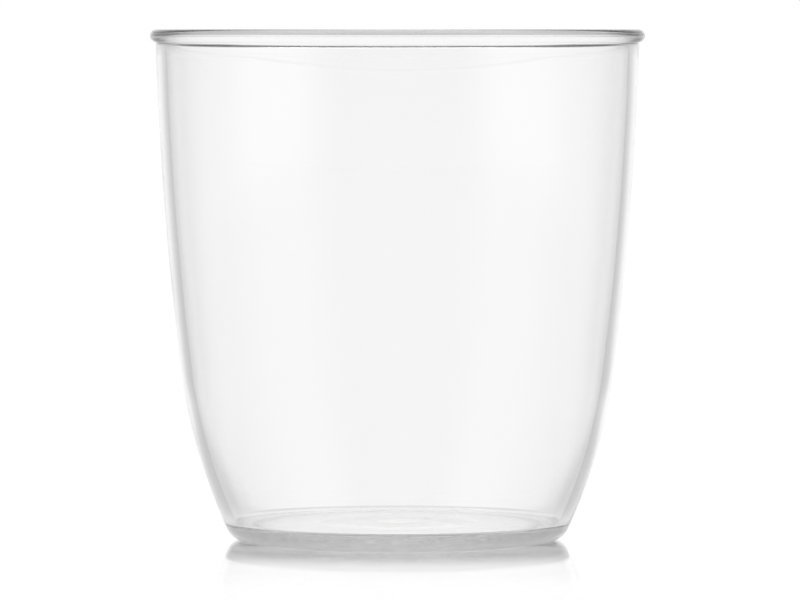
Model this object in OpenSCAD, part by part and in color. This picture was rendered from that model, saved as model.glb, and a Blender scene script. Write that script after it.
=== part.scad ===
// Clear plastic tumbler: a drinking cup moulded in one piece, with a flared wall,
// a rolled bead round the rim, a thick floor and a raised ring to stand on.
// The origin is the centre of the base on the table, and +Z is the cup's axis.

/* [Overall] */
// Outside diameter across the rim bead
rim_d = 90; // [82:1:100]
// Height from the table to the top of the rim
height = 93; // [80:1:120]
// Diameter of the circle where the rounded heel meets the table
foot_d = 56; // [48:1:64]

/* [Wall] */
// Thickness of the side wall, the same all the way up
wall_t = 1.9; // [1.6:0.1:2.3]
// Lean of the wall from the vertical just under the rim, in degrees
rim_lean = 1.5; // [0.5:0.1:2.5]
// Lean of the wall from the vertical just above the heel, in degrees
heel_lean = 25; // [18:0.5:32]
// Length of the tight lower bend for each unit of the gentle upper bend
bend_ratio = 0.5; // [0.35:0.05:0.8]

/* [Rim] */
// Height of the round bead at the top of the wall
bead_d = 2.4; // [2:0.1:2.7]
// How far the bead stands out from the wall
bead_out = 1; // [0.6:0.1:1.1]
// Radius of the small hollow fillet where the bead's underside meets the wall
neck_r = 0.3; // [0.2:0.1:1]

/* [Base] */
// Thickness of the floor over the hollow of the underside
floor_t = 2.5; // [1.6:0.1:4]
// Radius of the fillet between the floor and the wall, inside
floor_r = 1; // [0.6:0.1:3]
// Radius of the rounded heel, outside
heel_r = 3.4; // [1.8:0.1:4]
// Width of the flat ring that stands on the table
foot_w = 1.6; // [1:0.1:3]
// Radius that eases the inner edge of the foot ring
ring_r = 0.3; // [0.2:0.05:0.5]
// Height of the hollow inside the foot ring
hollow_h = 0.8; // [0.6:0.1:1.4]
// Diameter of the shallow round well at the centre of the underside, left by the moulding gate
gate_d = 24; // [12:1:32]
// Depth of that well
gate_h = 0.3; // [0.2:0.05:0.6]
// Width of the slope round its edge
gate_slope = 1.5; // [0.6:0.1:3]

/* [Hidden] */

// How far a round may stand off its facets, and the facets of a full turn
facet_gap = 0.004;
turn_fn = 144;

// Unit vector up a wall that leans outwards by an angle, and that wall's outward normal
function up_wall(lean) = [sin(lean), cos(lean)];
function off_wall(lean) = [cos(lean), -sin(lean)];
function unit(v) = v / norm(v);
function heading(v) = atan2(v[1], v[0]);

// Points of an arc from one heading to another.
// skip = 1 leaves out the first, which the arc before it has already given.
function arc(centre, radius, from, to, skip = 0) =
    let (
        step = 2 * acos(1 - facet_gap / radius),
        facets = ceil(abs(to - from) / step)
    )
    [for (i = [skip:facets])
        let (a = from + (to - from) * i / facets)
        centre + radius * [cos(a), sin(a)]];

// Lower crossing of two circles, the first to the left of the second
function lower_crossing(c1, r1, c2, r2) =
    let (
        gap = norm(c2 - c1),
        along = (r1 * r1 - r2 * r2 + gap * gap) / (2 * gap),
        aside = sqrt(r1 * r1 - along * along),
        dir = unit(c2 - c1)
    )
    c1 + along * dir + aside * [dir[1], -dir[0]];

// Point at height z, to the right of a centre and a given reach from it
function beside(centre, reach, z) =
    [centre[0] + sqrt(reach * reach - pow(centre[1] - z, 2)), z];

// Heel: a round from the table up to the foot of the wall
foot_r = foot_d / 2;
heel_c = [foot_r, heel_r];
wall_foot = heel_c + heel_r * off_wall(heel_lean);

// Bead: a round that stands out from the head of the wall
bead_r = bead_d / 2;
bead_c = [rim_d / 2 - bead_r, height - bead_r];
wall_head = [rim_d / 2 - bead_out, bead_c[1]];

// The wall's outside is two arcs that run into each other without a kink.
// lower_run and upper_run are the lengths of the tangents at its foot and head.
wall_span = wall_head - wall_foot;
foot_dir = up_wall(heel_lean);
head_dir = up_wall(rim_lean);
quad_a = 2 * bend_ratio * (foot_dir * head_dir - 1);
quad_b = -2 * wall_span * (bend_ratio * foot_dir + head_dir);
quad_c = wall_span * wall_span;
upper_run = (-quad_b - sqrt(quad_b * quad_b - 4 * quad_a * quad_c)) / (2 * quad_a);
lower_run = bend_ratio * upper_run;
bend_dir = unit(wall_span - upper_run * head_dir - lower_run * foot_dir);
bend_lean = atan2(bend_dir[0], bend_dir[1]);
lower_r = lower_run / tan((heel_lean - bend_lean) / 2);
upper_r = upper_run / tan((bend_lean - rim_lean) / 2);
lower_c = wall_foot - lower_r * off_wall(heel_lean);
upper_c = wall_head - upper_r * off_wall(rim_lean);

// Neck: a hollow fillet that touches the wall's outside and the bead
neck_c = lower_crossing(upper_c, upper_r + neck_r, bead_c, bead_r + neck_r);
neck_from_wall = heading(neck_c - upper_c);
neck_from_bead = heading(neck_c - bead_c);

// Lip: the bead's round again, set in so that it lies flush with the inside of the wall
lip_c = beside(upper_c, upper_r - wall_t + bead_r, bead_c[1]);
lip_from_wall = heading(lip_c - upper_c);

// Floor: its fillet touches the floor and the wall's inside
floor_z = hollow_h + floor_t;
fillet_c = beside(lower_c, lower_r - wall_t - floor_r, floor_z + floor_r);
fillet_from_wall = heading(fillet_c - lower_c);

// Underside, from the gate well at the axis out to the foot ring
gate_r = gate_d / 2;
ring_in = foot_r - foot_w;
hollow_edge = ring_in - hollow_h;
hollow_r = hollow_h - ring_r;
underside = concat(
    [[0, hollow_h + gate_h], [gate_r - gate_slope, hollow_h + gate_h], [gate_r, hollow_h]],
    arc([hollow_edge, ring_r], hollow_r, 90, 0),
    arc([ring_in, ring_r], ring_r, 180, 270, 1)
);

outside = concat(
    arc(heel_c, heel_r, -90, -heel_lean),
    arc(lower_c, lower_r, -heel_lean, -bend_lean, 1),
    arc(upper_c, upper_r, -bend_lean, neck_from_wall, 1),
    arc(neck_c, neck_r, neck_from_wall + 180, neck_from_bead + 180, 1)
);

// The bead's widest and highest points are corners, so that rim_d and height come out true
bead = concat(
    arc(bead_c, bead_r, neck_from_bead, 0, 1),
    arc(bead_c, bead_r, 0, 90, 1),
    arc(lip_c, bead_r, 90, 180 + lip_from_wall)
);

inside = concat(
    arc(upper_c, upper_r - wall_t, lip_from_wall, -bend_lean, 1),
    arc(lower_c, lower_r - wall_t, -bend_lean, fillet_from_wall, 1),
    arc(fillet_c, floor_r, fillet_from_wall, -90, 1),
    [[0, floor_z]]
);

module tumbler() {
    color([0.93, 0.95, 0.96, 0.45])
        rotate_extrude($fn = turn_fn)
            polygon(concat(underside, outside, bead, inside));
}

tumbler();
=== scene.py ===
"""A clear plastic tumbler, moulded in one piece, on a white sweep under soft studio light."""

import math

import bpy
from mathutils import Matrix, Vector


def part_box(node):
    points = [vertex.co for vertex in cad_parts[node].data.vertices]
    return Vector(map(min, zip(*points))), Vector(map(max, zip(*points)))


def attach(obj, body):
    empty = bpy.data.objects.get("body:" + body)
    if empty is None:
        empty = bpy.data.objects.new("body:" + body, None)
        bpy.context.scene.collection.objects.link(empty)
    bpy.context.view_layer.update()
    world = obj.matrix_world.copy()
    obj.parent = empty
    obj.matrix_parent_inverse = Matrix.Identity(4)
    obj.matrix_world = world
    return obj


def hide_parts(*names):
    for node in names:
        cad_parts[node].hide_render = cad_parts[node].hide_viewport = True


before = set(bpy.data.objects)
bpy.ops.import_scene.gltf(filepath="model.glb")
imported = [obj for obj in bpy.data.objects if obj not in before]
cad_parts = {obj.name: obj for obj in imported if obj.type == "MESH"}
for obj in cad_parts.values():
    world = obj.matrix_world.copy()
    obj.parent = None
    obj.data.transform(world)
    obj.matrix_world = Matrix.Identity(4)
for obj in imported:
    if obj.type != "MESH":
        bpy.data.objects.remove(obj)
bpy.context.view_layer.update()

# The tumbler: one shot of clear, rigid plastic. Its half section is drawn as a line that runs
# out along the underside, up the outside, over the bead and down the inside, and is then
# turned once round the cup's axis, as the mould's cavity and core were turned.
top_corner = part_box("tumbler")[1]
rim_r = top_corner[0]
height = top_corner[2]
foot_r = 0.028
wall_t = 0.0019
rim_lean = math.radians(1.5)
heel_lean = math.radians(25)
bend_ratio = 0.5
bead_r = 0.0012
bead_out = 0.001
neck_r = 0.0003
floor_t = 0.0025
floor_r = 0.001
heel_r = 0.0034
foot_w = 0.0016
ring_r = 0.0003
hollow_h = 0.0008
gate_r = 0.012
gate_h = 0.0003
gate_slope = 0.0015
pip_r = 0.0012
pip_h = 0.00015
turn_steps = 256
weld = 1e-6
quarter = math.pi / 2


def up_wall(lean):
    """The direction up a wall that leans outwards."""
    return Vector((math.sin(lean), 0, math.cos(lean)))


def off_wall(lean):
    """The direction straight out of a wall that leans outwards."""
    return Vector((math.cos(lean), 0, -math.sin(lean)))


def heading(v):
    """The angle of a direction in the section, from straight out towards up."""
    return math.atan2(v.z, v.x)


def beside(centre, reach, z):
    """The point at height z, to the right of a centre and a given reach from it."""
    return Vector((centre.x + math.sqrt(reach * reach - (centre.z - z) ** 2), 0, z))


def lower_crossing(c1, r1, c2, r2):
    """The lower point that lies r1 from c1 and r2 from c2, where c1 is the left one."""
    gap = (c2 - c1).length
    along = (r1 * r1 - r2 * r2 + gap * gap) / (2 * gap)
    aside = math.sqrt(r1 * r1 - along * along)
    way = (c2 - c1).normalized()
    return c1 + along * way + aside * Vector((way.z, 0, -way.x))


heel_c = Vector((foot_r, 0, heel_r))
wall_foot = heel_c + heel_r * off_wall(heel_lean)
bead_c = Vector((rim_r - bead_r, 0, height - bead_r))
wall_head = Vector((rim_r - bead_out, 0, bead_c.z))

# The wall's outside is two arcs without a kink, whose end tangents are the two runs.
wall_span = wall_head - wall_foot
foot_dir = up_wall(heel_lean)
head_dir = up_wall(rim_lean)
quad_a = 2 * bend_ratio * (foot_dir.dot(head_dir) - 1)
quad_b = -2 * wall_span.dot(bend_ratio * foot_dir + head_dir)
quad_c = wall_span.dot(wall_span)
upper_run = (-quad_b - math.sqrt(quad_b * quad_b - 4 * quad_a * quad_c)) / (2 * quad_a)
lower_run = bend_ratio * upper_run
bend_dir = wall_span - upper_run * head_dir - lower_run * foot_dir
bend_lean = math.atan2(bend_dir.x, bend_dir.z)
lower_r = lower_run / math.tan((heel_lean - bend_lean) / 2)
upper_r = upper_run / math.tan((bend_lean - rim_lean) / 2)
lower_c = wall_foot - lower_r * off_wall(heel_lean)
upper_c = wall_head - upper_r * off_wall(rim_lean)

neck_c = lower_crossing(upper_c, upper_r + neck_r, bead_c, bead_r + neck_r)
neck_from_wall = heading(neck_c - upper_c)
neck_from_bead = heading(neck_c - bead_c)

lip_c = beside(upper_c, upper_r - wall_t + bead_r, bead_c.z)
lip_from_wall = heading(lip_c - upper_c)

floor_z = hollow_h + floor_t
fillet_c = beside(lower_c, lower_r - wall_t - floor_r, floor_z + floor_r)
fillet_from_wall = heading(fillet_c - lower_c)

ring_in = foot_r - foot_w
hollow_c = Vector((ring_in - hollow_h, 0, ring_r))
ring_c = Vector((ring_in, 0, ring_r))
well_z = hollow_h + gate_h

bpy.ops.object.select_all(action="DESELECT")
bpy.ops.mesh.primitive_plane_add(size=wall_t, location=(0, 0, 0))
tumbler = bpy.context.active_object
tumbler.name = "tumbler_moulding"
bpy.ops.object.mode_set(mode="EDIT")
bpy.ops.mesh.select_all(action="SELECT")
bpy.ops.mesh.merge(type="CENTER")
pen = Vector((0, 0, well_z - pip_h))
bpy.ops.transform.translate(value=pen)


def line_to(x, z, steps):
    """Draws a straight run on from the line's end."""
    global pen
    end = Vector((x, 0, z))
    for _ in range(steps):
        bpy.ops.mesh.extrude_vertices_move(
            TRANSFORM_OT_translate={"value": (end - pen) / steps}
        )
    pen = end


def arc_round(centre, turn, steps):
    """Draws an arc on from the line's end: it turns anticlockwise, seen from the front."""
    global pen
    bpy.ops.mesh.spin(steps=steps, angle=turn, center=centre, axis=(0, 1, 0))
    spoke = pen - centre
    swing = heading(spoke) + turn
    pen = centre + spoke.length * Vector((math.cos(swing), 0, math.sin(swing)))


# The underside, from the gate pip at the axis out to the foot ring
line_to(pip_r - pip_h, well_z - pip_h, steps=2)
line_to(pip_r, well_z, steps=1)
line_to(gate_r - gate_slope, well_z, steps=4)
line_to(gate_r, hollow_h, steps=3)
line_to(hollow_c.x, hollow_h, steps=5)
arc_round(hollow_c, -quarter, steps=8)
arc_round(ring_c, quarter, steps=6)
line_to(foot_r, 0, steps=2)

# The outside, from the heel up to the neck, and over the bead
arc_round(heel_c, quarter - heel_lean, steps=14)
arc_round(lower_c, heel_lean - bend_lean, steps=20)
arc_round(upper_c, bend_lean + neck_from_wall, steps=24)
arc_round(neck_c, neck_from_bead - neck_from_wall, steps=8)
arc_round(bead_c, quarter - neck_from_bead, steps=24)
line_to(lip_c.x, height, steps=2)

# The inside, from the lip down to the floor and back to the axis
arc_round(lip_c, quarter + lip_from_wall, steps=16)
arc_round(upper_c, -lip_from_wall - bend_lean, steps=24)
arc_round(lower_c, fillet_from_wall + bend_lean, steps=18)
arc_round(fillet_c, -quarter - fillet_from_wall, steps=12)
line_to(0, floor_z, steps=8)

bpy.ops.mesh.select_all(action="SELECT")
bpy.ops.mesh.spin(steps=turn_steps, angle=2 * math.pi, center=(0, 0, 0), axis=(0, 0, 1))
bpy.ops.mesh.select_all(action="SELECT")
bpy.ops.mesh.remove_doubles(threshold=weld)
bpy.ops.mesh.normals_make_consistent(inside=False)
bpy.ops.object.mode_set(mode="OBJECT")
bpy.ops.object.shade_smooth()

# The plastic's finish: polished where the mould was, scuffed at the rim and foot by stacking
# and use, matt on the underside, and greyed a little by its own depth.
plastic_ior = 1.5
clear_tint = 0.985
# Painted shade: the crown's tint greys the top of the rim in the plastic's colour.
painted_crown_shade = 0.8
crown_shade_from = height - 0.00045
crown_shade_full = height - 0.0001
polish = 0.02
scuff_gain = 0.08
worn_foot_z = 0.001
rim_wear = 1.5
matt_finish = 0.42
scuff_scale = 1200
scuff_noise = (0.3, 0.7)
scuff_least = 0.6
scuff_most = 1.4
ripple_scale = 45
ripple_strength = 0.3
ripple_height = 0.0001
depth_grey = 0.4
depth_density = 4.2


def axes(tree, vector):
    """The X, Y and Z of a vector."""
    node = tree.nodes.new("ShaderNodeSeparateXYZ")
    tree.links.new(vector, node.inputs[0])
    return node.outputs["X"], node.outputs["Y"], node.outputs["Z"]


def length(tree, vector):
    """How long a vector is: a point's distance from the centre of the cup's foot."""
    node = tree.nodes.new("ShaderNodeVectorMath")
    node.operation = "LENGTH"
    tree.links.new(vector, node.inputs[0])
    return node.outputs["Value"]


def reckon(tree, operation, *terms):
    """A sum in a Math node, whose terms are sockets or plain numbers."""
    node = tree.nodes.new("ShaderNodeMath")
    node.operation = operation
    for slot, term in zip(node.inputs, terms):
        if isinstance(term, (int, float)):
            slot.default_value = term
        else:
            tree.links.new(term, slot)
    return node.outputs[0]


def product(tree, first, *others):
    """Several masks multiplied together."""
    for other in others:
        first = reckon(tree, "MULTIPLY", first, other)
    return first


def fade(tree, value, start, end, low=0.0, high=1.0, curve="SMOOTHSTEP"):
    """A mask that runs from low to high while the value goes from start to end."""
    node = tree.nodes.new("ShaderNodeMapRange")
    node.interpolation_type = curve
    node.inputs["From Min"].default_value = start
    node.inputs["From Max"].default_value = end
    node.inputs["To Min"].default_value = low
    node.inputs["To Max"].default_value = high
    tree.links.new(value, node.inputs["Value"])
    return node.outputs["Result"]


def blend(tree, share, first, second):
    """A mix of two colours, each a socket or the level of a plain grey."""
    node = tree.nodes.new("ShaderNodeMix")
    node.data_type = "RGBA"
    tree.links.new(share, node.inputs[0])
    for slot, colour in ((node.inputs[6], first), (node.inputs[7], second)):
        if isinstance(colour, float):
            slot.default_value = (colour, colour, colour, 1)
        else:
            tree.links.new(colour, slot)
    return node.outputs[2]


def noise(tree, vector, scale, detail):
    """A soft random pattern that is fixed to the piece."""
    node = tree.nodes.new("ShaderNodeTexNoise")
    node.inputs["Scale"].default_value = scale
    node.inputs["Detail"].default_value = detail
    tree.links.new(vector, node.inputs["Vector"])
    return node.outputs["Fac"]


plastic = bpy.data.materials.new("moulded_plastic")
plastic.use_nodes = True
tree = plastic.node_tree
shader = tree.nodes["Principled BSDF"]
shader.inputs["IOR"].default_value = plastic_ior
shader.inputs["Transmission Weight"].default_value = 1.0
place = tree.nodes.new("ShaderNodeTexCoord").outputs["Object"]
z = axes(tree, place)[2]

# Painted shade: the top of the rim is greyed in the base colour, so that it draws a dark line
# along the rim's top.
crown_shade_mask = fade(tree, z, crown_shade_from, crown_shade_full)
tree.links.new(blend(tree, crown_shade_mask, clear_tint, painted_crown_shade), shader.inputs["Base Color"])

worn_foot = fade(tree, z, heel_r, worn_foot_z)
worn_rim = fade(tree, z, height - 2 * bead_r, height - bead_r, high=rim_wear)
worn = reckon(tree, "MAXIMUM", worn_foot, worn_rim)
scuffs = noise(tree, place, scuff_scale, detail=3)
scuffed = fade(tree, scuffs, *scuff_noise, scuff_least, scuff_most, curve="LINEAR")
wear = product(tree, worn, scuffed)
moulded_finish = reckon(tree, "MULTIPLY_ADD", wear, scuff_gain, polish)
inside_ring = fade(tree, length(tree, place), ring_in + ring_r, ring_in)
below_floor = reckon(tree, "LESS_THAN", z, hollow_h + 2 * gate_h)
surface = tree.nodes.new("ShaderNodeMix")
surface.data_type = "FLOAT"
tree.links.new(product(tree, inside_ring, below_floor), surface.inputs[0])
tree.links.new(moulded_finish, surface.inputs[2])
tree.links.new(product(tree, scuffed, matt_finish), surface.inputs[3])
tree.links.new(surface.outputs[0], shader.inputs["Roughness"])

ripple = tree.nodes.new("ShaderNodeBump")
ripple.inputs["Strength"].default_value = ripple_strength
ripple.inputs["Distance"].default_value = ripple_height
tree.links.new(noise(tree, place, ripple_scale, detail=1), ripple.inputs["Height"])
tree.links.new(ripple.outputs["Normal"], shader.inputs["Normal"])

absorb = tree.nodes.new("ShaderNodeVolumeAbsorption")
absorb.inputs["Color"].default_value = (depth_grey, depth_grey, depth_grey, 1)
absorb.inputs["Density"].default_value = depth_density
tree.links.new(absorb.outputs["Volume"], tree.nodes["Material Output"].inputs["Volume"])

tumbler.data.materials.append(plastic)
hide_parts("tumbler")
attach(tumbler, "root")

# The table: a wide, smooth white board that the cup stands on. It is matt under a thin gloss,
# with a painted shadow under the foot ring, a painted pool of light round the foot, and a
# painted reflection of the studio wall further out.
# Each pair is where a mask starts and where it ends: metres, but for the slant's own share.
floor_gap = 0.00005
floor_half = 40.0
wall_tones = [
    (13, 1.0),
    (34, 0.58),
    (60, 0.62),
    (90, 0.8),
    (102, 0.99),
    (124, 0.99),
    (154, 0.56),
    (180, 0.56),
]
# Painted reflection: the strip's reach sets where the studio's tones are painted on the table.
strip_sides = (0.075, 0.13)
strip_spread = -0.066
strip_near_end = (-0.13, -0.2)
# Painted light: a pool brighter than white in the table's colour round the foot.
painted_pool_reach = (0.024, 0.045)
painted_pool_tone = 1.15
steep_tone = 0.58
# Painted sheen: the slant at which the painted wall reflection takes over from the table's grey.
painted_sheen_slant = (0.835, 0.897)
# Painted shadow: how wide and how dark the ring under the foot is painted.
painted_shadow_reach = (0.0012, 0.004)
painted_shadow_tone = 0.32
glow_share = 0.95
gloss_ior = 1.45
gloss_blur = 0.05
near_cup_reach = (0.032, 0.062)
near_cup_gloss = 1.8
table_gloss = 0.5
far_off_reach = (0.072, 0.1)
far_off_gloss = 0.3


def studio_tone():
    """A node group: how light the studio is in each direction round the cup, level with it."""
    group = bpy.data.node_groups.new("studio_tone", "ShaderNodeTree")
    group.interface.new_socket("Direction", in_out="INPUT", socket_type="NodeSocketVector")
    group.interface.new_socket("Tone", in_out="OUTPUT", socket_type="NodeSocketColor")
    way_in = group.nodes.new("NodeGroupInput")
    way_out = group.nodes.new("NodeGroupOutput")
    x, y, _ = axes(group, way_in.outputs["Direction"])
    bearing = reckon(group, "ARCTAN2", reckon(group, "ABSOLUTE", x), y)
    ramp = group.nodes.new("ShaderNodeValToRGB")
    group.links.new(reckon(group, "DIVIDE", bearing, math.pi), ramp.inputs["Fac"])
    group.links.new(ramp.outputs["Color"], way_out.inputs["Tone"])
    stops = ramp.color_ramp.elements
    ramp.color_ramp.interpolation = "EASE"
    while len(stops) < len(wall_tones):
        stops.new(0.5)
    for stop, (degrees, grey) in zip(stops, wall_tones):
        stop.position = degrees / 180
        stop.color = (grey, grey, grey, 1)
    return group


tone_group = studio_tone()


def tone_towards(tree, direction):
    """The studio's tone in a direction, from the shared group."""
    node = tree.nodes.new("ShaderNodeGroup")
    node.node_tree = tone_group
    tree.links.new(direction, node.inputs["Direction"])
    return node.outputs["Tone"]


bpy.ops.object.select_all(action="DESELECT")
bpy.ops.mesh.primitive_plane_add(size=2 * floor_half, location=(0, 0, 0))
floor = bpy.context.active_object
floor.name = "floor"
bpy.ops.object.mode_set(mode="EDIT")
bpy.ops.mesh.select_all(action="SELECT")
bpy.ops.transform.translate(value=(0, 0, -floor_gap))
bpy.ops.object.mode_set(mode="OBJECT")

table = bpy.data.materials.new("white_table")
table.use_nodes = True
tree = table.node_tree
tree.nodes.clear()
out = tree.nodes.new("ShaderNodeOutputMaterial")
place = tree.nodes.new("ShaderNodeTexCoord").outputs["Object"]
x, y, _ = axes(tree, place)
reach = length(tree, place)

# Painted reflection of the studio: a white strip runs back from the cup and widens. Beside it
# and nearer, the wall's tone is painted on the table.
behind = reckon(tree, "MAXIMUM", y, 0.0)
aside = reckon(tree, "MULTIPLY_ADD", behind, strip_spread, reckon(tree, "ABSOLUTE", x))
off_strip = reckon(
    tree, "MAXIMUM", fade(tree, aside, *strip_sides), fade(tree, y, *strip_near_end)
)
painted_wall_reflection = blend(tree, off_strip, 1.0, tone_towards(tree, place))

# Seen steeply, as through the cup's base, the table is grey with a painted pool of light round
# the foot, brighter than white.
painted_light_pool = fade(tree, reach, *painted_pool_reach, low=painted_pool_tone, high=steep_tone)
# Painted sheen: at a graze the table shows the painted wall reflection instead of its grey.
slant = tree.nodes.new("ShaderNodeLayerWeight")
slant.inputs["Blend"].default_value = 0.5
painted_sheen = fade(tree, slant.outputs["Facing"], *painted_sheen_slant)
tone = blend(tree, painted_sheen, painted_light_pool, painted_wall_reflection)

# Painted contact shadow: the table is darker in a narrow ring where the foot ring stands on it.
to_ring = reckon(tree, "ABSOLUTE", reckon(tree, "SUBTRACT", reach, foot_r - foot_w / 2))
painted_contact_shadow = fade(tree, to_ring, *painted_shadow_reach, low=painted_shadow_tone)
shaded = tree.nodes.new("ShaderNodeVectorMath")
shaded.operation = "MULTIPLY"
tree.links.new(tone, shaded.inputs[0])
tree.links.new(painted_contact_shadow, shaded.inputs[1])

matt = tree.nodes.new("ShaderNodeBsdfDiffuse")
tree.links.new(shaded.outputs["Vector"], matt.inputs["Color"])
glow = tree.nodes.new("ShaderNodeEmission")
tree.links.new(shaded.outputs["Vector"], glow.inputs["Color"])
rays = tree.nodes.new("ShaderNodeLightPath").outputs
direct = reckon(tree, "MAXIMUM", rays["Is Camera Ray"], rays["Is Glossy Ray"])
seen = reckon(tree, "MAXIMUM", direct, rays["Is Transmission Ray"])
board = tree.nodes.new("ShaderNodeMixShader")
tree.links.new(reckon(tree, "MULTIPLY", seen, glow_share), board.inputs["Fac"])
tree.links.new(matt.outputs[0], board.inputs[1])
tree.links.new(glow.outputs[0], board.inputs[2])

# The gloss mirrors the cup beside its foot and dies away further out.
gloss = tree.nodes.new("ShaderNodeBsdfGlossy")
gloss.inputs["Color"].default_value = (1, 1, 1, 1)
gloss.inputs["Roughness"].default_value = gloss_blur
sheen = tree.nodes.new("ShaderNodeFresnel")
sheen.inputs["IOR"].default_value = gloss_ior
near_cup = fade(tree, reach, *near_cup_reach, low=near_cup_gloss, high=table_gloss)
far_off = fade(tree, reach, *far_off_reach, low=1.0, high=far_off_gloss)
clear_of_foot = fade(tree, reach, ring_in, foot_r)
open_table = product(tree, near_cup, far_off, clear_of_foot)
gloss_share = reckon(tree, "MULTIPLY", sheen.outputs[0], open_table)
gloss_share.node.use_clamp = True
finish = tree.nodes.new("ShaderNodeMixShader")
tree.links.new(gloss_share, finish.inputs["Fac"])
tree.links.new(board.outputs[0], finish.inputs[1])
tree.links.new(gloss.outputs[0], finish.inputs[2])
tree.links.new(finish.outputs[0], out.inputs["Surface"])

floor.data.materials.append(table)

# The studio: pale walls in the tones above, a soft lamp overhead, and two light grey flags low
# behind the cup, either side of a white panel. They draw the grey in its thick parts.
# Each pair is where a mask starts and where it ends, along X, Y or Z of the direction.
mirror_drop = -0.1
flag_foot = (0.01, 0.07)
flag_top = (0.23, 0.15)
flag_front = (0.2, 0.5)
panel_edge = (0.13, 0.25)
flag_grey = 0.8
lamp_edge = (0.7, 0.9)
lamp_light = 1.5

world = bpy.data.worlds.new("studio")
bpy.context.scene.world = world
world.use_nodes = True
tree = world.node_tree
direction = tree.nodes.new("ShaderNodeTexCoord").outputs["Generated"]
x, y, z = axes(tree, direction)

# The table's mirror image of the flags stands lower, so that it leaves no halo by the cup.
rays = tree.nodes.new("ShaderNodeLightPath").outputs
rise = reckon(tree, "MULTIPLY_ADD", rays["Is Reflection Ray"], mirror_drop, z)
flags = product(
    tree,
    fade(tree, rise, *flag_foot),
    fade(tree, z, *flag_top),
    fade(tree, reckon(tree, "ABSOLUTE", x), *panel_edge),
    fade(tree, y, *flag_front),
)
walls = blend(tree, flags, tone_towards(tree, direction), flag_grey)
light = tree.nodes.new("ShaderNodeVectorMath")
light.operation = "ADD"
tree.links.new(walls, light.inputs[0])
tree.links.new(fade(tree, z, *lamp_edge, high=lamp_light), light.inputs[1])
tree.links.new(light.outputs["Vector"], tree.nodes["Background"].inputs["Color"])

# The camera: a long lens a little above the rim, as the photograph was framed. Its focal
# length comes from how many pixels of the photograph a millimetre of the cup fills.
aim = Vector((0.00046, 0, 0.0437))
camera_rise = math.radians(2.6)
camera_range = 1.1
frame_width = 800
pixels_per_mm = 5.483
sensor_width = 36
camera_reach = 200

camera_data = bpy.data.cameras.new("camera")
camera = bpy.data.objects.new("camera", camera_data)
bpy.context.scene.collection.objects.link(camera)
camera.location = aim + camera_range * Vector((0, -math.cos(camera_rise), math.sin(camera_rise)))
camera.rotation_euler = (quarter - camera_rise, 0, 0)
camera_data.sensor_width = sensor_width
camera_data.lens = pixels_per_mm * sensor_width / frame_width * camera_range * 1000
camera_data.clip_end = camera_reach
bpy.context.scene.camera = camera
bpy.context.scene.view_settings.view_transform = "Standard"

# Light crosses the thick base many times, and the usual limits would leave it black.
bounces = 32
bpy.context.scene.cycles.max_bounces = bounces
bpy.context.scene.cycles.transmission_bounces = bounces
bpy.context.scene.cycles.glossy_bounces = bounces // 2
